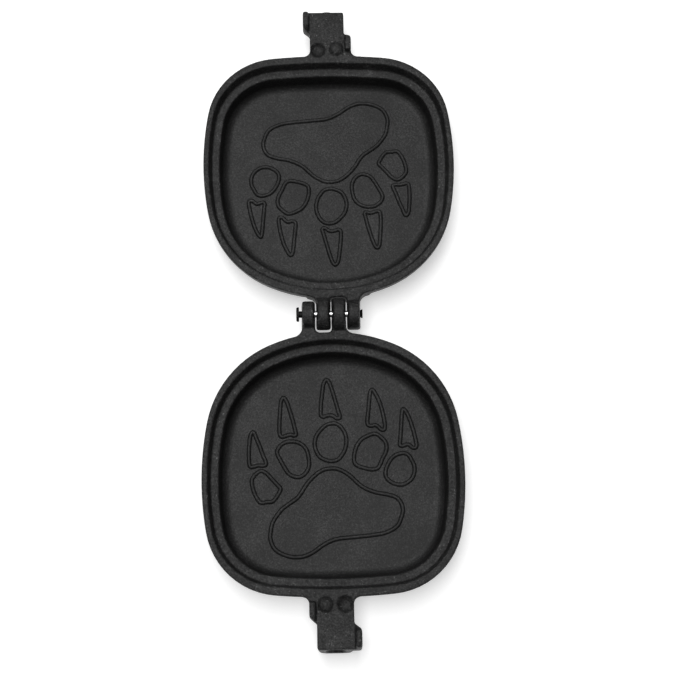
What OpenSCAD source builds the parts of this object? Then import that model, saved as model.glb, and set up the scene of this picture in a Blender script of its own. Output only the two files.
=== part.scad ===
/* [Pan] */
// Width of each pan across its rim
pan_w = 118; // [100:1:140]
// Length of each pan from its hinge edge to its tab edge
pan_l = 119.4; // [105:0.2:140]
// Depth of each half from its mating face to its back
pan_depth = 18.6; // [16:0.2:26]
// Thickness of the cooking floor
floor_t = 3.4; // [3:0.2:6]
// Distance from the pin's axis to the hinge edge of the pan
hinge_reach = 8.2; // [8:0.1:12]
// Distance from the hinge edge to the pan's widest place
wide_from_hinge = 66.2; // [60:0.2:72]
// Radius of the edge by the hinge
hinge_edge_r = 72; // [65:1:90]
// Radius of the two sides
side_edge_r = 138; // [110:1:180]
// Radius of the edge by the tab
tab_edge_r = 300; // [200:5:500]
// Radius of the two corners by the hinge
hinge_corner_r = 48; // [42:1:50]
// Radius of the two corners by the tab
tab_corner_r = 34; // [30:1:40]

/* [Rim and ledge] */
// Width of the mating face along the sides
face_side_w = 2.6; // [2:0.1:5]
// Width of the mating face by the hinge and by the tab
face_end_w = 3.7; // [2:0.1:5]
// Height of the square outer edge of the rim
rim_edge_h = 2.8; // [1:0.1:4]
// Height of the rim band on the outside
rim_band_h = 8; // [6:0.5:10]
// Depth of the crust ledge below the mating face
ledge_depth = 5.4; // [3:0.1:6]
// Width of the crust ledge
ledge_w = 3.7; // [2:0.1:5]
// How far the step down to the ledge leans inwards
step_lean = 1.0; // [0.4:0.1:1.5]
// How far the cavity wall leans inwards below the ledge
wall_lean = 0.8; // [0.4:0.1:1.5]
// Radius where the cavity wall meets the floor
floor_fillet_r = 3; // [1:0.5:4]
// How far the rim band leans inwards
rim_lean = 0.9; // [0.3:0.1:1.5]
// Height of the slope under the rim band
shoulder_h = 1.4; // [0.8:0.1:3]
// How far the back of the pan is set in from the rim
back_inset = 3.6; // [3:0.1:4.5]
// How far the outside of the pan leans inwards below the rim band
back_lean = 1.2; // [0.6:0.1:2]
// Radius of the lower edge of the back
back_edge_r = 4; // [2:0.5:5]

/* [Track figure] */
// Height of the raised outline above the floor
bead_h = 0.8; // [0.5:0.1:1.2]
// Width of the raised outline at the floor
bead_w = 1.8; // [1.4:0.1:1.9]
// Width of the raised outline along its top
bead_top_w = 0.8; // [0.6:0.1:1.2]

/* [Tab] */
// Width of the rod tab
tab_w = 16.4; // [14:0.2:20]
// Distance the tab stands out from the pan
tab_reach = 22.4; // [18:0.2:30]
// Thickness of the tab
tab_t = 13.5; // [12:0.5:16]
// Radius of the tab's outer corners
tab_corner = 3; // [0.5:0.1:4]
// How far the end of the tab slopes outwards, from its mating face to its underside
end_slope = 1.7; // [0:0.1:2.5]
// Radius of the rounded underside of the tab
tab_under_r = 5; // [2:0.5:6]
// Radius of the fillets where the tab meets the pan
tab_root_r = 3; // [2:0.5:3.5]
// Radius of the threaded rod socket at its wall
socket_r = 3.4; // [2.5:0.1:4]
// Radius of the socket's mouth
socket_mouth_r = 4.2; // [3.5:0.1:5]
// Depth of the rod socket
socket_depth = 17; // [12:0.5:17]
// Gap between a locating lip and the side of the other tab
lip_gap = 0.5; // [0.3:0.1:1]
// Thickness of the locating lips
lip_t = 2.8; // [2:0.1:3.5]
// Height of the locating lips above the mating face
lip_h = 3.6; // [1.5:0.1:4]
// Length of the long lip at the end of the tab
long_lip = 10.5; // [6:0.1:10.6]
// Length of the short lip beside the pan
short_lip = 9.5; // [6:0.1:9.6]
// Distance of the short lip from the pan's edge
short_lip_from_pan = 1.7; // [1.5:0.1:1.8]
// How far the middle end of a lip slopes back
lip_slope = 2.5; // [0.5:0.1:3]
// How far the long lip slopes back at the end of the tab
lip_end_slope = 1; // [0:0.1:2]
// How far a lip's boss splays out from the side of the tab
lip_splay = 2.5; // [1:0.1:3.5]
// Height of the boss under the long lip
lip_boss_h = 5.5; // [4:0.5:8]
// How far the boss starts before the long lip
lip_foot = 0.7; // [0:0.1:0.8]
// Distance of the locating dome from the pan's edge
dome_from_pan = 3; // [2:0.1:5]
// Distance of the locating dome from the middle of the tab
dome_side = 4.4; // [4:0.1:4.6]
// Radius of the locating dome at its foot
dome_r = 3.1; // [2.4:0.1:3.2]
// Radius of the locating dome at its top
dome_top_r = 1.9; // [1:0.1:2.2]
// Height of the locating dome
dome_h = 2.3; // [1:0.1:2.6]
// Clearance of the dome in the other half's dimple
dome_clear = 0.2; // [0.15:0.05:0.4]

/* [Hinge] */
// Radius of the pin's shank
pin_r = 1.5; // [1.3:0.05:1.8]
// Clearance around the pin in its bores
pin_clear = 0.2; // [0.1:0.05:0.4]
// Radius of the pin's head
head_r = 3.3; // [2.5:0.1:5]
// Thickness of the pin's head
head_t = 1.2; // [1:0.1:2]
// Radius of the pin's flared tail
tail_r = 2.15; // [2.1:0.05:2.6]
// Length of the pin's flared tail
tail_l = 1.3; // [1.2:0.1:2]
// Distance the pin floats along its bores
pin_float = 1.4; // [0.5:0.1:2]
// Radius of the outer knuckles
outer_knuckle_r = 6; // [5.5:0.1:6.4]
// Radius of the inner knuckles
inner_knuckle_r = 7.4; // [6:0.1:7.6]
// Size of the square heel under each knuckle
heel = 6.4; // [5:0.1:6.6]
// Width of the outer knuckles at the height of the pin
outer_knuckle_w = 5.6; // [4:0.1:6]
// Width of the inner knuckles at the height of the pin
inner_knuckle_w = 5.6; // [4:0.1:6]
// Draft angle of the knuckles' flanks
knuckle_draft = 3; // [0:0.5:3.5]
// Gap between the two inner knuckles at the height of the pin
inner_gap = 1.6; // [1.2:0.1:3]
// Gap between an inner and an outer knuckle at the height of the pin
outer_gap = 1.3; // [1.2:0.05:3]
// Distance from the pin's axis to the bottom of the notch
notch_reach = 8.5; // [8.2:0.1:9]
// Radius of the notch's corners
notch_r = 3; // [1:0.1:3.5]
// Radius of the fillet between the outer knuckle and the pan
outer_root_r = 5; // [3:0.1:6]
// Radius of the fillet between the inner knuckle and the pan
inner_root_r = 4.5; // [3:0.1:5]
// Gap between the two mating faces when the iron is shut
seam = 0.1; // [0.05:0.01:0.3]

/* [Hidden] */
$fn = 64;
iron = [0.24, 0.24, 0.24];
steel = [0.72, 0.72, 0.74];

// Heights in a half's own frame, whose origin lies on the pin's axis
face_z = -seam / 2;
back_z = face_z - pan_depth;
floor_z = back_z + floor_t;
pin_z = -back_z;

// Places along a half, from the pin's axis outwards
far_y = hinge_reach + pan_l;
wide_y = hinge_reach + wide_from_hinge;
tab_end = far_y + tab_reach;
dome_y = far_y + dome_from_pan;
long_from = tab_end - long_lip;
long_foot = long_from - lip_foot;
short_from = far_y + short_lip_from_pan;

// Places of a lip's inner and outer side across the tab
lip_in = tab_w / 2 + lip_gap;
lip_out = lip_in + lip_t;

// How far the tab runs into the wall of the pan
tab_sunk = face_end_w + step_lean + ledge_w / 2;

// Knuckle places across the hinge, for the half whose inner knuckle lies left of the middle
inner_left = -inner_gap / 2 - inner_knuckle_w;
inner_right = -inner_gap / 2;
outer_left = inner_gap / 2 + inner_knuckle_w + outer_gap;
outer_right = outer_left + outer_knuckle_w;
bore_r = pin_r + pin_clear;

// Small overlaps that join pieces and carry cuts past a face
lap = 0.5;
over = 1;
sink = 0.1;

// How far the neck and the knuckles' arms run into the wall of the pan
neck_sunk = 4;
arm_sunk = 2;

// Small chamfer on the pin's head, and how far its flared tail seats in the last bore
head_edge = 0.3;
tail_seat = 0.2;

// Track of a five-toed animal: the pad, the toes and the claws, each clockwise through a few points
pad = [
    [16, 109.5], [25, 107.5], [29, 101], [28, 94.5], [20.5, 86], [13, 78], [7, 71.5], [0, 69.5],
    [-6, 71.5], [-13, 78], [-20, 82], [-28, 84.5], [-30, 91], [-27, 98], [-17, 101.5], [0, 102.5],
    [9, 107.5]
];
toes = [
    [[-29.5, 78.5], [-24, 75], [-25, 68], [-31, 63], [-35, 65.5], [-36.5, 71], [-34.5, 76]],
    [[-17, 71], [-10, 66.5], [-13, 56], [-19.5, 53.5], [-24, 59], [-21.5, 68]],
    [[1, 65.5], [7.5, 62], [6.5, 54], [0, 47], [-5.5, 52], [-5.5, 59.5]],
    [[16, 72.5], [21, 69.5], [25.5, 60.5], [19, 55], [12, 60], [11.5, 69]],
    [[32, 83.5], [37, 75], [35.5, 70], [31, 69.5], [24, 78], [27, 83]]
];
claws = [
    [
        [-36.5, 61], [-33.5, 59.5], [-31, 58.5], [-31, 47],
        [-32, 42.5], [-34.5, 42.5], [-36.5, 48], [-38, 58.5]
    ],
    [[-23, 51], [-20, 49], [-17, 48], [-17, 37.5], [-18.5, 32.5], [-21, 32.5], [-23, 39], [-24.5, 48.5]],
    [[-2.5, 44], [0.5, 43], [4, 42], [3.5, 30.5], [2.5, 27], [0, 27], [-2, 34], [-3.5, 42]],
    [[17.5, 52.5], [20.5, 52], [23.5, 51], [24, 40], [23, 35], [20.5, 35], [18.5, 42], [16.5, 50]],
    [[31.5, 66.5], [34.5, 66.5], [37.5, 65.5], [38, 55], [37.5, 51], [35, 51], [32.5, 58], [30.5, 64.5]]
];

function heading(v) = atan2(v.y, v.x);
function spot(c, r, a) = c + r * [cos(a), sin(a)];

// Right-hand crossing of two circles, given by centre and radius
function meet(a, ra, b, rb) =
    let (d = b - a, l = norm(d), e = d / l, x = (ra * ra - rb * rb + l * l) / (2 * l))
    let (h = sqrt(ra * ra - x * x), p = a + x * e, n = h * [-e.y, e.x])
    (p + n).x > (p - n).x ? p + n : p - n;

// Outline of a pan as eight arcs that meet smoothly, drawn in from the rim by side and end
function outline(side, end) =
    let (hinge_c = [0, hinge_reach + end + hinge_edge_r - side])
    let (side_c = [pan_w / 2 - side_edge_r, wide_y])
    let (tab_c = [0, far_y - end - tab_edge_r + side])
    let (hinge_r = hinge_edge_r - side, side_r = side_edge_r - side, tab_r = tab_edge_r - side)
    let (low_r = hinge_corner_r - side, high_r = tab_corner_r - side)
    let (low_c = meet(hinge_c, hinge_r - low_r, side_c, side_r - low_r))
    let (high_c = meet(tab_c, tab_r - high_r, side_c, side_r - high_r))
    let (a = heading(low_c - hinge_c), b = heading(low_c - side_c))
    let (c = heading(high_c - side_c), d = heading(high_c - tab_c))
    [
        [hinge_c, hinge_r, -180 - a, a],
        [low_c, low_r, a, b],
        [side_c, side_r, b, c],
        [high_c, high_r, c, d],
        [tab_c, tab_r, d, 180 - d],
        [[-high_c.x, high_c.y], high_r, 180 - d, 180 - c],
        [[-side_c.x, side_c.y], side_r, 180 - c, 180 - b],
        [[-low_c.x, low_c.y], low_r, 180 - b, 180 - a]
    ];

// Outer edge of the rim, and the inner edge of the mating face
rim = outline(0, 0);
mouth = outline(face_side_w, face_end_w);
arc_steps = 12;

// Points round an outline, set in from it
function ring(arcs, inset) =
    [for (k = arcs) for (i = [0 : arc_steps - 1])
        spot(k[0], k[1] - inset, k[2] + (k[3] - k[2]) * i / arc_steps)];

// Part of a circle in a section, about a centre, between two headings
function bend(c, r, from, to) = [for (i = [0 : 4]) spot(c, r, from + (to - from) * i / 4)];

// A pan: rings stacked down the outside, across the back, and up the inside from the floor
module pan() {
    ledge_z = face_z - ledge_depth;
    ledge_in = step_lean + ledge_w;
    outer_foot = [back_inset + back_lean + back_edge_r, back_z + back_edge_r];
    inner_foot = [ledge_in + wall_lean + floor_fillet_r, floor_z + floor_fillet_r];
    outside = concat(
        [[0, face_z], [0, face_z - rim_edge_h], [rim_lean, face_z - rim_band_h]],
        [[back_inset, face_z - rim_band_h - shoulder_h]],
        bend(outer_foot, back_edge_r, 180, 270));
    inside = concat(
        bend(inner_foot, floor_fillet_r, 270, 180),
        [[ledge_in, ledge_z], [step_lean, ledge_z], [0, face_z]]);
    rows = concat(
        [for (p = outside) [for (q = ring(rim, p.x)) [q.x, q.y, p.y]]],
        [for (p = inside) [for (q = ring(mouth, p.x)) [q.x, q.y, p.y]]]);
    back = len(outside) - 1;
    down = len(rows);
    across = len(rim) * arc_steps;
    polyhedron(
        points = [for (row = rows) for (p = row) p],
        faces = concat(
            [for (j = [0 : down - 1]) if (j != back) for (i = [0 : across - 1])
                let (n = (i + 1) % across, a = j * across, b = ((j + 1) % down) * across)
                [a + i, a + n, b + n, b + i]],
            [[for (i = [0 : across - 1]) back * across + i]],
            [[for (i = [across - 1 : -1 : 0]) (back + 1) * across + i]]));
}

// Space inside the rim above the ledge, which the tab and the neck stop short of
module inside_rim() {
    translate([0, 0, face_z - ledge_depth - lap])
        linear_extrude(ledge_depth + lap + over)
            polygon(ring(mouth, -lap));
}

// Concave fillet in the corner at x, y: dir says which side of x it fills, up which side of y
module root(x, y, r, dir, up) {
    translate([x, y])
        mirror([dir > 0 ? 0 : 1, 0])
            mirror([0, up > 0 ? 0 : 1])
                difference() {
                    translate([-lap, -over])
                        square([r + lap, r + over]);
                    translate([r, r])
                        circle(r);
                }
}

// Height of the pan's hinge edge at a distance from the middle
function hinge_edge(x) = hinge_reach + hinge_edge_r - sqrt(hinge_edge_r * hinge_edge_r - x * x);
function tab_edge(x) = far_y - tab_edge_r + sqrt(tab_edge_r * tab_edge_r - x * x);

// Barrel for the pin, with a square heel and an arm back to the pan, all wider towards the foot
module knuckle(left, right, r) {
    deep = max(r, heel);
    thin = r * tan(knuckle_draft);
    wide = deep * tan(knuckle_draft);
    intersection() {
        translate([left - over, 0, 0])
            rotate([90, 0, 90])
                linear_extrude(right - left + 2 * over) {
                    circle(r);
                    translate([-heel, -heel])
                        square([heel, heel]);
                    translate([0, -heel])
                        square([hinge_reach + arm_sunk, heel + face_z]);
                }
        translate([0, hinge_reach + arm_sunk, 0])
            rotate([90, 0, 0])
                linear_extrude(hinge_reach + arm_sunk + deep)
                    polygon([
                        [left - wide, -deep],
                        [right + wide, -deep],
                        [right - thin, r],
                        [left + thin, r]
                    ]);
    }
}

// Neck that joins both knuckles to the pan, notched for the other half's inner knuckle
module neck() {
    slot = outer_left - inner_right;
    translate([0, 0, face_z - rim_band_h])
        linear_extrude(rim_band_h) {
            difference() {
                translate([inner_left, notch_reach - notch_r])
                    square([outer_right - inner_left, notch_r + neck_sunk]);
                translate([inner_right, 0])
                    square([slot, notch_reach - notch_r]);
                translate([inner_right + notch_r, 0])
                    square([slot - 2 * notch_r, notch_reach]);
                for (x = [inner_right + notch_r, outer_left - notch_r])
                    translate([x, notch_reach - notch_r])
                        circle(notch_r);
            }
            root(outer_right, hinge_edge(outer_right + outer_root_r), outer_root_r, 1, -1);
            root(inner_left, hinge_edge(inner_left - inner_root_r), inner_root_r, -1, -1);
        }
}

// Plan of the tab's underside with its rounded outer corners
module tab_plan() {
    half = tab_w / 2;
    translate([-half, far_y - tab_sunk])
        square([tab_w, tab_reach + end_slope + tab_sunk - tab_corner]);
    translate([-half + tab_corner, far_y])
        square([tab_w - 2 * tab_corner, tab_reach + end_slope]);
    for (x = [-half + tab_corner, half - tab_corner])
        translate([x, tab_end + end_slope - tab_corner])
            circle(tab_corner);
}

// Section of the tab across its length, rounded underneath
module tab_section() {
    half = tab_w / 2;
    translate([-half, face_z - tab_t + tab_under_r])
        square([tab_w, tab_t - tab_under_r]);
    translate([-half + tab_under_r, face_z - tab_t])
        square([tab_w - 2 * tab_under_r, tab_t]);
    for (x = [-half + tab_under_r, half - tab_under_r])
        translate([x, face_z - tab_t + tab_under_r])
            circle(tab_under_r);
}

module tab_block() {
    intersection() {
        translate([0, 0, face_z - tab_t])
            linear_extrude(tab_t)
                tab_plan();
        translate([0, tab_end + end_slope + over, 0])
            rotate([90, 0, 0])
                linear_extrude(tab_reach + end_slope + tab_sunk + 2 * over)
                    tab_section();
        translate([-tab_w, 0, 0])
            rotate([90, 0, 90])
                linear_extrude(2 * tab_w)
                    polygon([
                        [far_y - tab_sunk, face_z - tab_t],
                        [tab_end + end_slope, face_z - tab_t],
                        [tab_end, face_z],
                        [far_y - tab_sunk, face_z]
                    ]);
    }
    side = tab_w / 2;
    translate([0, 0, face_z - rim_band_h])
        linear_extrude(rim_band_h) {
            root(-side, tab_edge(side + tab_root_r), tab_root_r, -1, 1);
            root(lip_out, tab_edge(lip_out + tab_root_r), tab_root_r, 1, 1);
        }
}

// Locating lip beside the tab, on a boss below the mating face, both cut to one plan
module lip(dir, plan, boss, raised) {
    mirror([dir < 0 ? 1 : 0, 0, 0])
        intersection() {
            translate([0, 0, face_z - rim_band_h])
                linear_extrude(rim_band_h + lip_h)
                    polygon(plan);
            union() {
                translate([lip_in - lip_gap - over, 0, 0])
                    rotate([90, 0, 90])
                        linear_extrude(over + lip_gap + lip_t)
                            polygon(boss);
                translate([lip_in, 0, 0])
                    rotate([90, 0, 90])
                        linear_extrude(lip_t)
                            polygon(raised);
            }
        }
}

// Long lip at the end of the tab, whose boss ends in the same slope as the tab
module long_lip_block() {
    low = face_z - lip_boss_h;
    end = tab_end + end_slope * lip_boss_h / tab_t;
    plan = [
        [lip_in - lip_gap - over, long_foot],
        [lip_in - lip_gap, long_foot],
        [lip_out, long_foot + lip_splay],
        [lip_out, end],
        [lip_in - lip_gap - over, end]
    ];
    boss = [[long_foot, low], [end, low], [tab_end, face_z], [long_foot, face_z]];
    raised = [
        [long_from, face_z - lap],
        [tab_end, face_z - lap],
        [tab_end, face_z],
        [tab_end - lip_end_slope, face_z + lip_h],
        [long_from + lip_slope, face_z + lip_h],
        [long_from, face_z]
    ];
    lip(-1, plan, boss, raised);
}

// Short lip beside the pan
module short_lip_block() {
    low = face_z - rim_band_h;
    to = short_from + short_lip;
    plan = [
        [lip_in - lip_gap - over, far_y - lap],
        [lip_out, far_y - lap],
        [lip_out, to - lip_splay],
        [lip_in, to],
        [lip_in - lip_gap - over, to]
    ];
    boss = [[far_y - lap, low], [to, low], [to, face_z], [far_y - lap, face_z]];
    raised = [
        [short_from, face_z - lap],
        [to, face_z - lap],
        [to, face_z],
        [to - lip_slope, face_z + lip_h],
        [short_from, face_z + lip_h]
    ];
    lip(1, plan, boss, raised);
}

// Locating dome with sloping sides
module dome() {
    translate([dome_side, dome_y, face_z - lap])
        cylinder(h = lap, r = dome_r);
    translate([dome_side, dome_y, face_z])
        cylinder(h = dome_h, r1 = dome_r, r2 = dome_top_r);
}

// Dimple that takes the other half's dome
module dimple() {
    translate([-dome_side, dome_y, face_z])
        cylinder(h = over, r = dome_r + dome_clear);
    translate([-dome_side, dome_y, face_z - dome_h - dome_clear])
        cylinder(h = dome_h + dome_clear, r1 = dome_top_r + dome_clear, r2 = dome_r + dome_clear);
}

// Threaded socket for a handle rod, with its turned mouth
module socket() {
    flare = socket_mouth_r - socket_r;
    slant = end_slope / tab_t * (tab_t / 2 + socket_mouth_r);
    translate([0, tab_end + slant + over, face_z - tab_t / 2])
        rotate([90, 0, 0])
            cylinder(h = slant + over + socket_depth, r = socket_r);
    translate([0, tab_end + slant + over, face_z - tab_t / 2])
        rotate([90, 0, 0])
            cylinder(h = slant + over, r = socket_mouth_r);
    translate([0, tab_end, face_z - tab_t / 2])
        rotate([90, 0, 0])
            cylinder(h = flare, r1 = socket_mouth_r, r2 = socket_r);
}

// Smooth closed curve through a few points, heading at each along the line between its neighbours
function curve(p, steps) =
    let (n = len(p))
    [for (i = [0 : n - 1])
        let (a = p[(i + n - 1) % n], b = p[i], c = p[(i + 1) % n], d = p[(i + 2) % n])
        let (u = norm(c - b) / norm(c - a) * (c - a), v = norm(c - b) / norm(d - b) * (d - b))
        for (j = [0 : steps - 1])
            let (t = j / steps)
            b + t * u + t * t * (3 * (c - b) - 2 * u - v) + t * t * t * (u + v - 2 * (c - b))];

// The same curve moved sideways, outwards where the curve runs clockwise
function beside(p, away) =
    let (n = len(p))
    [for (i = [0 : n - 1])
        let (d = p[(i + 1) % n] - p[(i + n - 1) % n])
        p[i] + away / norm(d) * [-d.y, d.x]];

// Raised outline with sloping sides, standing on the floor of the pan
module ridge(points, steps) {
    line = curve(points, steps);
    foot = bead_w / 2 + sink * (bead_w - bead_top_w) / 2 / bead_h;
    rows = [
        [for (q = beside(line, foot)) [q.x, q.y, floor_z - sink]],
        [for (q = beside(line, bead_top_w / 2)) [q.x, q.y, floor_z + bead_h]],
        [for (q = beside(line, -bead_top_w / 2)) [q.x, q.y, floor_z + bead_h]],
        [for (q = beside(line, -foot)) [q.x, q.y, floor_z - sink]]
    ];
    across = len(line);
    polyhedron(
        points = [for (row = rows) for (q = row) q],
        faces = [for (j = [0 : 3]) for (i = [0 : across - 1])
            let (n = (i + 1) % across, a = j * across, b = ((j + 1) % 4) * across)
            [a + i, a + n, b + n, b + i]]);
}

// One half: both halves are the same casting
module casting() {
    difference() {
        union() {
            pan();
            difference() {
                union() {
                    neck();
                    tab_block();
                }
                inside_rim();
            }
            knuckle(inner_left, inner_right, inner_knuckle_r);
            knuckle(outer_left, outer_right, outer_knuckle_r);
            long_lip_block();
            short_lip_block();
            dome();
            ridge(pad, 4);
            for (toe = toes)
                ridge(toe, 4);
            for (claw = claws)
                ridge(claw, 3);
        }
        dimple();
        socket();
        translate([inner_left - over, 0, 0])
            rotate([0, 90, 0])
                cylinder(h = outer_right - inner_left + 2 * over, r = bore_r);
    }
}

module lower_half() {
    color(iron)
        translate([0, 0, pin_z])
            rotate([0, 0, 180])
                casting();
}

module upper_half() {
    color(iron)
        translate([0, 0, pin_z])
            casting();
}

// Pin with a disc head and a flared tail, lying as far left as its tail allows
module hinge_pin() {
    head_x = -outer_right - pin_float - head_t;
    tail_from = outer_right - tail_seat - head_x;
    color(steel)
        translate([head_x, 0, pin_z])
            rotate([0, 90, 0])
                rotate_extrude()
                    polygon([
                        [0, 0],
                        [head_r - head_edge, 0],
                        [head_r, head_edge],
                        [head_r, head_t],
                        [pin_r, head_t],
                        [pin_r, tail_from],
                        [tail_r, tail_from + tail_l],
                        [0, tail_from + tail_l]
                    ]);
}

lower_half();
upper_half();
hinge_pin();
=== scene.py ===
import math

import bpy
import numpy as np
from mathutils.kdtree import KDTree
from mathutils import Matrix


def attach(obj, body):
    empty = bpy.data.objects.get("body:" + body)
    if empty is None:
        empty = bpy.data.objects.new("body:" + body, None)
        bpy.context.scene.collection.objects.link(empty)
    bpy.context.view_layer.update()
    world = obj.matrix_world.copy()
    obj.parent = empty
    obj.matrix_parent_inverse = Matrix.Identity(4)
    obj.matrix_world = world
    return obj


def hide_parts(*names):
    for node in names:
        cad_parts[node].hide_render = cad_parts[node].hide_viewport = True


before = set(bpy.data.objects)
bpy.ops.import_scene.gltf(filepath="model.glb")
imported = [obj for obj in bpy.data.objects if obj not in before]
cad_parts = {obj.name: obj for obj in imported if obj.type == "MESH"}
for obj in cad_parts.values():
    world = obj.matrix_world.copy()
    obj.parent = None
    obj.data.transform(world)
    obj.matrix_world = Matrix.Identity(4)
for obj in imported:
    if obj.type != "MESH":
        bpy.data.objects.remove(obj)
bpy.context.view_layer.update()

# Looks of the open pie iron: cast surfaces, raised track, socket threads, pin, floor, light and camera.
# Lengths are metres. In a half's own terms, out is the distance from the pin's axis towards its tab, and
# side is -1 for the lower half, which lies towards the camera, and 1 for the upper half.
MM = 0.001

# Camera, fitted to the photograph with both mating faces in one level plane; its turn is in degrees
CAMERA_AT = (-3.375 * MM, -147.38 * MM, 620.86 * MM)
CAMERA_TURN = (12.6596, -0.4831, -0.9359)
CAMERA_LENS, CAMERA_SENSOR = 71.583, 36
CAMERA_CLIP = 0.01

# Overhead softbox, and the dim white world round it
LAMP_AT = (-0.18, 0.3, 1.5)
LAMP_SIZE = (0.8, 1.5)
LAMP_POWER = 23
SKY = 0.12

# Stage floor: its half width, its grey, and the glow that the camera and reflections see on top of its lit
# tone, from its middle to its white far part
STAGE_HALF = 12.0
STAGE_GREY = 0.8
GLOW, GLOW_WHITE = 0.45, 1
GLOW_NEAR, GLOW_FAR = 0.4, 1.2

# Skin of the castings: voxels of the remesh, smoothing rounds before and after the finer shapes are worked
# in and those of the soft places alone, and the faces that are kept
VOXEL = 0.34 * MM
WELD = 0.01 * MM
SMOOTH_STEPS, ROUND_STEPS, SOFT_STEPS = 3, 12, 30
SMOOTH_FACTOR = 0.5
FACES_KEPT = 185000

# Heights of the pan floor and the mating face in the open pose
FLOOR_Z = 3.4 * MM
FACE_Z = 18.6 * MM
IN_PAN_Z = FLOOR_Z - 0.3 * MM

# Part of the pan floor that holds the solids' own track, and how high that track stands at most
TRACK_SIDE, TRACK_NEAR, TRACK_FAR = 42 * MM, 22 * MM, 113 * MM
TRACK_TOP = 1.1 * MM

# Rounding between a pan's floor and its wall, measured from the wall's place at one height
FILLET_R = 4.6 * MM
WALL_Z, WALL_BAND = 9.5 * MM, 0.25 * MM
PAN_SIDE, PAN_NEAR, PAN_FAR = 52 * MM, 14 * MM, 122 * MM

# Knuckle sides beside the gaps, in the upper half's own x, and how far each moves along x at pin height,
# which is always out of its knuckle
PIN_Z = 18.65 * MM
KNUCKLE_R = 7.4 * MM
FLANKS = ((-6.4 * MM, -0.45 * MM), (-0.8 * MM, 0.72 * MM), (7.7 * MM, -0.4 * MM))
FLANK_REACH, FLANK_FADE = 1.2 * MM, 3 * MM

# Knuckles and lips, whose edges are softer than the rest
HINGE_TO, LIP_FROM, TAB_FROM = 8.4 * MM, 8.4 * MM, 129 * MM

# Locating dome and dimple on the tab, and the power that makes them round
DOME_SIDE, DOME_OUT = 4.4 * MM, 130.6 * MM
DOME_R, DOME_H = 3.4 * MM, 2.3 * MM
DIMPLE_R, DIMPLE_H = 3.6 * MM, 2.6 * MM
DOME_POWER = 0.65
DOME_REACH = 3 * MM

# Rod socket, its thread, and the wider bore that the casting gets behind the threaded lining
SOCKET_Z = 11.85 * MM
SOCKET_MOUTH = 151.2 * MM
SOCKET_L = 15.5 * MM
SOCKET_CHAMFER = 0.8 * MM
THREAD_CREST, THREAD_ROOT, THREAD_OUT = 3.4 * MM, 4.05 * MM, 4.4 * MM
THREAD_PITCH = 1.25 * MM
THREAD_SIDES, STEPS_PER_TURN = 36, 8
LINING_EDGE = 0.05 * MM
BORE_R, BORE_REACH = THREAD_ROOT + 0.15 * MM, THREAD_CREST + 0.35 * MM
AXIS_CLEAR = 0.1 * MM

# Seasoned iron: sizes of the grain, the rims' coarser skin and the rest, depths of the first two, and the
# heights between which the floors' surface turns into the rims'
GRAIN, GRAIN_DEPTH = 0.8 * MM, 0.22 * MM
SKIN, SKIN_DEPTH = 1.0 * MM, 0.35 * MM
# The last size is that of the painted glints: small bright specks of painted highlight in the colour
BLOTCH, DUST, PAINTED_GLINT = 14 * MM, 6 * MM, 0.9 * MM
RIM_LOW, RIM_HIGH = 9 * MM, 13 * MM
IRON_SPECULAR = 0.3

# Pin steel: drawn lines with their depth and how long they run, and where the dark ends begin
LINE, LINE_DEPTH, LINE_STRETCH = 0.25 * MM, 0.02 * MM, 0.05
END_FROM, END_TO = 12.2 * MM, 12.8 * MM
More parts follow.
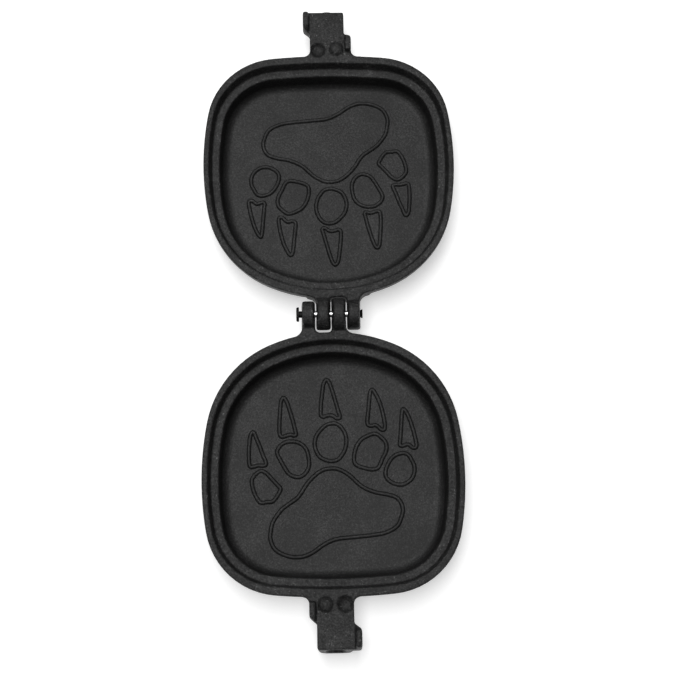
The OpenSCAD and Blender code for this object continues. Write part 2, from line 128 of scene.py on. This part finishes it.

# Raised track on the pan floor, in millimetres: the ridge's section as sideways and upward places from its
# line, and the lines themselves in the lower half, as points given along the photographed ones:
# five claws, five toes and the pad
RIDGE = [(1.12, -0.15), (0.98, 0.12), (0.62, 0.78), (0.42, 0.95), (0, 1.02),
         (-0.42, 0.95), (-0.62, 0.78), (-0.98, 0.12), (-1.12, -0.15)]
CURVE_STEPS = 6
TRACK = [
    [(-36.6, -51.8), (-35.3, -54.4), (-33.4, -59.0), (-31.9, -63.2), (-30.7, -66.2), (-31.1, -67.1),
     (-32.5, -67.3), (-34.2, -67.2), (-35.9, -67.6), (-37.6, -67.9), (-38.3, -67.0), (-38.6, -64.1),
     (-38.6, -60.2), (-38.3, -56.3), (-37.8, -53.1)],
    [(-22.4, -35.9), (-21.1, -37.8), (-19.6, -42.3), (-18.3, -46.8), (-17.2, -51.4), (-16.9, -53.1),
     (-17.7, -53.7), (-19.1, -53.2), (-21.3, -53.6), (-23.0, -54.1), (-24.1, -53.6), (-24.5, -51.6),
     (-24.5, -47.6), (-24.2, -43.2), (-23.9, -39.3), (-23.4, -36.8)],
    [(-2.2, -27.8), (-1.0, -29.6), (0.4, -33.9), (1.7, -38.7), (2.9, -43.1), (3.5, -45.1), (3.0, -45.9),
     (1.7, -45.7), (0.6, -44.9), (-0.7, -44.4), (-2.5, -44.6), (-4.1, -45.1), (-5.2, -44.5), (-5.4, -43.0),
     (-5.2, -39.1), (-4.6, -34.1), (-4.0, -30.1), (-3.2, -28.2)],
    [(18.6, -32.7), (20.1, -34.6), (21.9, -38.5), (23.1, -42.9), (23.9, -47.1), (24.2, -50.3), (23.6, -51.5),
     (22.3, -51.3), (21.2, -50.2), (19.8, -49.3), (18.0, -49.6), (16.5, -49.2), (16.1, -48.0), (16.3, -45.4),
     (16.8, -41.3), (17.2, -37.1), (17.7, -33.9)],
    [(32.9, -41.9), (34.5, -44.1), (36.0, -47.8), (37.2, -52.0), (38.1, -56.1), (38.5, -59.2), (37.8, -60.1),
     (36.5, -59.9), (35.1, -58.7), (33.7, -58.6), (31.9, -59.2), (30.9, -58.7), (31.0, -57.0), (31.4, -52.9),
     (31.8, -48.2), (32.1, -44.6), (32.4, -42.6)],
    [(-33.0, -69.8), (-30.7, -70.8), (-28.2, -73.4), (-25.7, -76.2), (-24.2, -78.0), (-24.9, -79.9),
     (-26.4, -82.3), (-28.0, -83.8), (-30.5, -84.0), (-32.9, -84.3), (-34.3, -83.2), (-35.7, -80.8),
     (-36.8, -77.7), (-37.3, -75.2), (-37.1, -73.3), (-35.3, -71.0)],
    [(-19.4, -56.3), (-16.5, -56.7), (-14.0, -58.0), (-12.2, -60.2), (-11.3, -63.3), (-11.0, -66.6),
     (-11.6, -69.3), (-13.3, -71.6), (-15.7, -72.8), (-18.3, -72.4), (-20.3, -71.2), (-21.9, -69.0),
     (-23.1, -66.9), (-24.3, -64.7), (-25.5, -62.1), (-25.5, -60.3), (-24.2, -58.3), (-22.0, -56.8)],
    [(-0.3, -48.2), (2.1, -48.6), (4.0, -50.1), (5.2, -52.0), (6.1, -54.6), (6.2, -57.7), (5.3, -61.0),
     (3.7, -63.5), (2.2, -65.0), (-0.9, -65.7), (-3.4, -65.1), (-6.0, -63.7), (-7.5, -61.3), (-8.2, -59.0),
     (-8.3, -56.8), (-7.5, -53.8), (-5.3, -50.9), (-2.8, -48.9)],
    [(20.2, -53.5), (22.5, -55.2), (24.2, -57.2), (24.7, -59.8), (23.9, -62.7), (22.6, -65.1), (21.5, -67.6),
     (20.1, -69.4), (17.6, -69.8), (15.1, -69.3), (12.1, -68.4), (10.1, -67.0), (9.6, -64.7), (10.1, -61.3),
     (11.3, -58.3), (13.4, -55.7), (16.4, -54.1), (18.6, -53.4)],
    [(32.8, -62.5), (34.7, -63.5), (36.0, -65.6), (37.2, -68.5), (37.0, -72.0), (35.3, -74.9), (32.4, -76.7),
     (29.6, -76.9), (26.7, -75.9), (24.4, -73.8), (23.9, -71.3), (24.7, -68.3), (26.5, -65.3), (28.5, -63.5),
     (30.6, -62.7)],
    [(-28.6, -96.4), (-27.8, -93.2), (-26.0, -90.3), (-23.5, -87.3), (-20.4, -85.0), (-16.8, -82.5),
     (-14.8, -80.1), (-12.7, -76.8), (-10.2, -73.8), (-7.1, -71.1), (-4.0, -69.5), (0.5, -69.1), (4.1, -70.2),
     (7.6, -72.5), (12.9, -77.4), (18.8, -80.2), (24.7, -81.4), (29.4, -83.4), (31.4, -87.7), (30.7, -91.8),
     (28.5, -95.9), (23.1, -98.7), (16.0, -99.8), (7.7, -100.5), (0.6, -101.3), (-4.7, -103.6),
     (-10.1, -107.2), (-14.8, -108.9), (-20.7, -108.6), (-26.6, -105.6), (-28.9, -100.8)],
]


def new_object(name, data):
    made = bpy.data.objects.new(name, data)
    bpy.context.scene.collection.objects.link(made)
    return made


def baked(obj, name):
    """A plain mesh of an object with its modifiers worked in."""
    graph = bpy.context.evaluated_depsgraph_get()
    mesh = bpy.data.meshes.new_from_object(obj.evaluated_get(graph))
    mesh.name = name
    return mesh


def grid_faces(rows, count, start=0):
    """Faces round a closed band of closed rows, whose vertices come row after row."""
    faces = []
    for row in range(rows):
        here, there = start + row * count, start + (row + 1) % rows * count
        for i in range(count):
            n = (i + 1) % count
            faces.append((here + i, here + n, there + n, there + i))
    return faces


class Nodes:
    """Short calls for building one material's node tree."""

    def __init__(self, name):
        self.material = bpy.data.materials.new(name)
        self.material.use_nodes = True
        self.tree = self.material.node_tree
        self.shader = self.tree.nodes["Principled BSDF"]
        self.place = self.add("ShaderNodeTexCoord").outputs["Object"]

    def add(self, kind, **values):
        node = self.tree.nodes.new(kind)
        for key, value in values.items():
            setattr(node, key, value)
        return node

    def link(self, a, b):
        self.tree.links.new(a, b)

    def noise(self, size, detail, rough, place=None):
        """Noise whose features are about size metres across."""
        node = self.add("ShaderNodeTexNoise")
        node.inputs["Scale"].default_value = 1 / size
        node.inputs["Detail"].default_value = detail
        node.inputs["Roughness"].default_value = rough
        self.link(place or self.place, node.inputs["Vector"])
        return node.outputs["Fac"]

    def spread(self, value, low, high, to_low, to_high):
        """Maps a stretch of values onto another."""
        node = self.add("ShaderNodeMapRange")
        for key, number in (("From Min", low), ("From Max", high), ("To Min", to_low), ("To Max", to_high)):
            node.inputs[key].default_value = number
        self.link(value, node.inputs["Value"])
        return node.outputs["Result"]

    def math(self, operation, *values):
        node = self.add("ShaderNodeMath", operation=operation)
        for socket, value in zip(node.inputs, values):
            if isinstance(value, (int, float)):
                socket.default_value = value
            else:
                self.link(value, socket)
        return node.outputs["Value"]

    def greys(self, value, stops):
        """Greys along a value, from pairs of place and grey."""
        node = self.add("ShaderNodeValToRGB")
        marks = node.color_ramp.elements
        while len(marks) < len(stops):
            marks.new(0.5)
        for mark, (place, grey) in zip(marks, stops):
            mark.position = place
            mark.color = (grey, grey, grey, 1)
        self.link(value, node.inputs["Fac"])
        return node.outputs["Color"]

    def bump(self, height, depth, under=None):
        node = self.add("ShaderNodeBump")
        node.inputs["Strength"].default_value = 1
        node.inputs["Distance"].default_value = depth
        self.link(height, node.inputs["Height"])
        if under:
            self.link(under, node.inputs["Normal"])
        return node.outputs["Normal"]


def seasoned_iron():
    """Dark seasoned casting: fine grain on the floors, coarser skin up on the rims, dust, worn edges, and
    small painted glints in its colour.
    """
    n = Nodes("seasoned_iron")
    split = n.add("ShaderNodeSeparateXYZ")
    n.link(n.place, split.inputs["Vector"])
    rim = n.spread(split.outputs["Z"], RIM_LOW, RIM_HIGH, 0, 1)
    grain = n.noise(GRAIN, 3, 0.7)
    skin = n.noise(SKIN, 3, 0.75)
    blotch = n.noise(BLOTCH, 3, 0.55)
    dust = n.spread(n.noise(DUST, 4, 0.65), 0.52, 0.72, 0, 1)
    # Painted glints: small bright specks of painted highlight in the colour, which also make those spots
    # glossier
    painted_glint = n.spread(n.noise(PAINTED_GLINT, 0, 0.5), 0.76, 0.82, 0, 1)
    edge = n.spread(n.add("ShaderNodeNewGeometry").outputs["Pointiness"], 0.52, 0.60, 0, 1)
    tone = 0.5
    for value, weight in ((n.math("SUBTRACT", blotch, 0.5), 0.35),
                          (n.math("SUBTRACT", grain, 0.5), 1.1),
                          (n.math("SUBTRACT", skin, 0.5), n.spread(rim, 0, 1, 0.2, 0.8)),
                          (n.math("MULTIPLY", dust, rim), 0.15),
                          (rim, 0.08),
                          (edge, 0.12),
                          # the painted glints, stronger on the rims
                          (painted_glint, n.spread(rim, 0, 1, 0.15, 0.3))):
        tone = n.math("MULTIPLY_ADD", value, weight, tone)
    colour = n.greys(tone, [(0, 0.002), (0.5, 0.009), (0.8, 0.035), (1, 0.12)])
    n.link(colour, n.shader.inputs["Base Color"])
    n.link(n.spread(tone, 0.2, 0.8, 0.60, 0.44), n.shader.inputs["Roughness"])
    n.shader.inputs["Specular IOR Level"].default_value = IRON_SPECULAR
    rough = n.bump(n.math("MULTIPLY", skin, rim), SKIN_DEPTH)
    n.link(n.bump(grain, GRAIN_DEPTH, rough), n.shader.inputs["Normal"])
    return n.material


def pin_steel():
    """Drawn steel: bright bare shank, darkened ends, fine lines along the pin."""
    n = Nodes("pin_steel")
    stretch = n.add("ShaderNodeMapping")
    stretch.inputs["Scale"].default_value = (LINE_STRETCH, 1, 1)
    n.link(n.place, stretch.inputs["Vector"])
    lines = n.noise(LINE, 2, 0.5, stretch.outputs["Vector"])
    split = n.add("ShaderNodeSeparateXYZ")
    n.link(n.place, split.inputs["Vector"])
    end = n.spread(n.math("ABSOLUTE", split.outputs["X"]), END_FROM, END_TO, 0, 1)
    n.link(n.greys(end, [(0, 0.6), (1, 0.02)]), n.shader.inputs["Base Color"])
    n.shader.inputs["Metallic"].default_value = 1
    n.link(n.spread(end, 0, 1, 0.3, 0.6), n.shader.inputs["Roughness"])
    n.link(n.bump(lines, LINE_DEPTH), n.shader.inputs["Normal"])
    return n.material


def plain_floor(x, out, z):
    """Takes the solids' own track off the pan floor."""
    on_floor = (abs(x) < TRACK_SIDE) & (out > TRACK_NEAR) & (out < TRACK_FAR)
    z[on_floor & (z > IN_PAN_Z) & (z < FLOOR_Z + TRACK_TOP)] = FLOOR_Z


def swell_flanks(x, out, z, side):
    """Makes the knuckles' sides bulge at pin height, which narrows the gaps between them."""
    level = np.clip(1 - abs(z - PIN_Z) / KNUCKLE_R, 0, 1) * np.clip((HINGE_TO - out) / FLANK_FADE, 0, 1)
    own = x * side
    moved = own.copy()
    for flank, swell in FLANKS:
        moved += swell * level * np.clip(1 - abs(own - flank) / FLANK_REACH, 0, 1)
    x[:] = moved * side


def round_floor_edge(x, out, z):
    """Raises the floor beside the wall to a fillet, by each point's distance from the wall."""
    pan = (abs(x) < PAN_SIDE) & (out > PAN_NEAR) & (out < PAN_FAR) & (z > IN_PAN_Z)
    wall = np.flatnonzero(pan & (abs(z - WALL_Z) < WALL_BAND))
    low = np.flatnonzero(pan & (z < FLOOR_Z + FILLET_R))
    tree = KDTree(len(wall))
    for i in wall:
        tree.insert((x[i], out[i], 0), int(i))
    tree.balance()
    gap = np.array([tree.find((x[i], out[i], 0))[2] for i in low])
    deep = np.clip(FILLET_R - gap, 0, FILLET_R)
    z[low] = np.maximum(z[low], FLOOR_Z + FILLET_R - np.sqrt(FILLET_R ** 2 - deep ** 2))


def dome_and_dimple(x, out, z, side):
    """Rounds the locating dome and dimple, which are cones in the solids."""
    for place, r, rise in ((side * DOME_SIDE, DOME_R, DOME_H), (-side * DOME_SIDE, DIMPLE_R, -DIMPLE_H)):
        far = np.hypot(x - place, out - DOME_OUT) / r
        near = (far < 1) & (z > FACE_Z - DOME_REACH)
        z[near] = FACE_Z + rise * (1 - far[near] ** 2) ** DOME_POWER


def open_socket(x, out, z):
    """Widens the rod socket, so that its threaded lining is what shows."""
    off = np.hypot(x, z - SOCKET_Z)
    inside = (off < BORE_REACH) & (out > SOCKET_MOUTH - SOCKET_L)
    push = (BORE_R / np.maximum(off, AXIS_CLEAR))[inside]
    x[inside] *= push
    z[inside] = SOCKET_Z + (z[inside] - SOCKET_Z) * push


def reshape(mesh, side):
    """Works the finer shapes into a half's dense mesh, and gives the vertices of its soft places."""
    at = np.empty(len(mesh.vertices) * 3)
    mesh.vertices.foreach_get("co", at)
    x, y, z = at.reshape(-1, 3).T
    out = y * side
    plain_floor(x, out, z)
    swell_flanks(x, out, z, side)
    round_floor_edge(x, out, z)
    dome_and_dimple(x, out, z, side)
    open_socket(x, out, z)
    mesh.vertices.foreach_set("co", at)
    mesh.update()
    knuckles = out < HINGE_TO
    lips = (abs(x) > LIP_FROM) & (out > TAB_FROM)
    return [int(i) for i in np.flatnonzero(knuckles | lips)]


def smooth(obj, steps, group=""):
    """Evens out an object's surface, or one group of its vertices."""
    modifier = obj.modifiers.new("smooth", "SMOOTH")
    modifier.factor = SMOOTH_FACTOR
    modifier.iterations = steps
    modifier.vertex_group = group


def dress(piece, node, material):
    """Smooth shading and the iron's material, riding on a half."""
    piece.data.materials.clear()
    piece.data.materials.append(material)
    piece.data.polygons.foreach_set("use_smooth", [True] * len(piece.data.polygons))
    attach(piece, node)


def cast_surface(node, side, material):
    """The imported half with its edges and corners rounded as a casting's are."""
    copy = new_object("work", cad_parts[node].data.copy())
    copy.modifiers.new("weld", "WELD").merge_threshold = WELD
    remesh = copy.modifiers.new("remesh", "REMESH")
    remesh.mode = "VOXEL"
    remesh.voxel_size = VOXEL
    smooth(copy, SMOOTH_STEPS)
    dense = baked(copy, "dense")
    bpy.data.objects.remove(copy)
    soft = reshape(dense, side)
    copy = new_object("work", dense)
    copy.vertex_groups.new(name="soft").add(soft, 1, "REPLACE")
    smooth(copy, SOFT_STEPS, "soft")
    smooth(copy, ROUND_STEPS)
    copy.modifiers.new("thin", "DECIMATE").ratio = min(1, FACES_KEPT / (2 * len(dense.polygons)))
    piece = new_object(node + "_casting", baked(copy, node + "_casting"))
    bpy.data.objects.remove(copy)
    dress(piece, node, material)
    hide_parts(node)


def curve(points):
    """Smooth closed curve through a few points, heading at each along the line between its neighbours."""
    p = np.array(points)
    before, after, beyond = np.roll(p, 1, 0), np.roll(p, -1, 0), np.roll(p, -2, 0)
    span = np.linalg.norm(after - p, axis=1)[:, None]
    u = span / np.linalg.norm(after - before, axis=1)[:, None] * (after - before)
    v = span / np.linalg.norm(beyond - p, axis=1)[:, None] * (beyond - p)
    rows = []
    for step in range(CURVE_STEPS):
        t = step / CURVE_STEPS
        rows.append(p + t * u + t * t * (3 * (after - p) - 2 * u - v) + t ** 3 * (u + v - 2 * (after - p)))
    return np.stack(rows, axis=1).reshape(-1, 2)


def raised_track(node, side, material):
    """The track's ridges, one swept section round each closed line, on the floor of a pan."""
    verts, faces = [], []
    for points in TRACK:
        line = curve(points) * -side
        ahead = np.roll(line, -1, 0) - np.roll(line, 1, 0)
        across = np.stack([-ahead[:, 1], ahead[:, 0]], axis=1) / np.linalg.norm(ahead, axis=1)[:, None]
        faces += grid_faces(len(RIDGE), len(line), len(verts))
        for away, up in RIDGE:
            verts += [(q[0] * MM, q[1] * MM, FLOOR_Z + up * MM) for q in line + away * across]
    mesh = bpy.data.meshes.new(node + "_track")
    mesh.from_pydata(verts, [], faces)
    dress(new_object(node + "_track", mesh), node, material)


def socket_thread(node, side, material):
    """Threaded lining of the rod socket: a sleeve whose bore carries a helical wave."""
    steps = int(SOCKET_L / THREAD_PITCH * STEPS_PER_TURN)
    mid, wave = (THREAD_CREST + THREAD_ROOT) / 2, (THREAD_ROOT - THREAD_CREST) / 2
    around = [2 * math.pi * j / THREAD_SIDES for j in range(THREAD_SIDES)]
    verts = []
    for i in range(steps + 1):
        deep = SOCKET_L * i / steps
        least = THREAD_CREST + max(0, SOCKET_CHAMFER - deep)
        for a in around:
            r = mid + wave * math.cos(2 * math.pi * deep / THREAD_PITCH - side * a)
            r = min(max(r, least), THREAD_OUT - LINING_EDGE)
            verts.append((r * math.cos(a), side * (SOCKET_MOUTH - deep), SOCKET_Z + r * math.sin(a)))
    for deep in (SOCKET_L, 0):
        y = side * (SOCKET_MOUTH - deep)
        verts += [(THREAD_OUT * math.cos(a), y, SOCKET_Z + THREAD_OUT * math.sin(a)) for a in around]
    faces = grid_faces(len(verts) // THREAD_SIDES, THREAD_SIDES)
    if side < 0:
        faces = [face[::-1] for face in faces]
    mesh = bpy.data.meshes.new(node + "_thread")
    mesh.from_pydata(verts, [], faces)
    dress(new_object(node + "_thread", mesh), node, material)


def camera():
    data = bpy.data.cameras.new("camera")
    data.lens = CAMERA_LENS
    data.sensor_width = CAMERA_SENSOR
    data.clip_start = CAMERA_CLIP
    made = new_object("camera", data)
    made.location = CAMERA_AT
    made.rotation_euler = [math.radians(a) for a in CAMERA_TURN]
    bpy.context.scene.camera = made


def softbox():
    """Soft rectangular light facing straight down."""
    data = bpy.data.lights.new("key", "AREA")
    data.shape = "RECTANGLE"
    data.size, data.size_y = LAMP_SIZE
    data.energy = LAMP_POWER
    new_object("key", data).location = LAMP_AT


def sky():
    world = bpy.data.worlds.new("sky")
    world.use_nodes = True
    world.node_tree.nodes["Background"].inputs["Color"].default_value = (1, 1, 1, 1)
    world.node_tree.nodes["Background"].inputs["Strength"].default_value = SKY
    bpy.context.scene.world = world


def floor():
    """White floor that keeps shadows. Its glow is seen and mirrored but lights nothing by itself."""
    h = STAGE_HALF
    mesh = bpy.data.meshes.new("floor")
    mesh.from_pydata([(-h, -h, 0), (h, -h, 0), (h, h, 0), (-h, h, 0)], [], [(0, 1, 2, 3)])
    made = new_object("floor", mesh)
    n = Nodes("floor")
    n.shader.inputs["Base Color"].default_value = (STAGE_GREY, STAGE_GREY, STAGE_GREY, 1)
    n.shader.inputs["Roughness"].default_value = 1
    far = n.add("ShaderNodeVectorMath", operation="LENGTH")
    n.link(n.place, far.inputs[0])
    glow = n.add("ShaderNodeEmission")
    n.link(n.spread(far.outputs["Value"], GLOW_NEAR, GLOW_FAR, GLOW, GLOW_WHITE), glow.inputs["Strength"])
    both = n.add("ShaderNodeAddShader")
    n.link(n.shader.outputs[0], both.inputs[0])
    n.link(glow.outputs[0], both.inputs[1])
    ray = n.add("ShaderNodeLightPath").outputs
    seen = n.math("MAXIMUM", ray["Is Camera Ray"], ray["Is Glossy Ray"])
    pick = n.add("ShaderNodeMixShader")
    n.link(n.math("MAXIMUM", seen, ray["Is Transmission Ray"]), pick.inputs[0])
    n.link(n.shader.outputs[0], pick.inputs[1])
    n.link(both.outputs[0], pick.inputs[2])
    n.link(pick.outputs[0], n.tree.nodes["Material Output"].inputs["Surface"])
    mesh.materials.append(n.material)


camera()
floor()
sky()
softbox()

iron = seasoned_iron()
for half, side in (("lower_half", -1), ("upper_half", 1)):
    cast_surface(half, side, iron)
    raised_track(half, side, iron)
    socket_thread(half, side, iron)
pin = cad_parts["hinge_pin"]
pin.data.materials.clear()
pin.data.materials.append(pin_steel())

bpy.context.scene.view_settings.view_transform = "Standard"
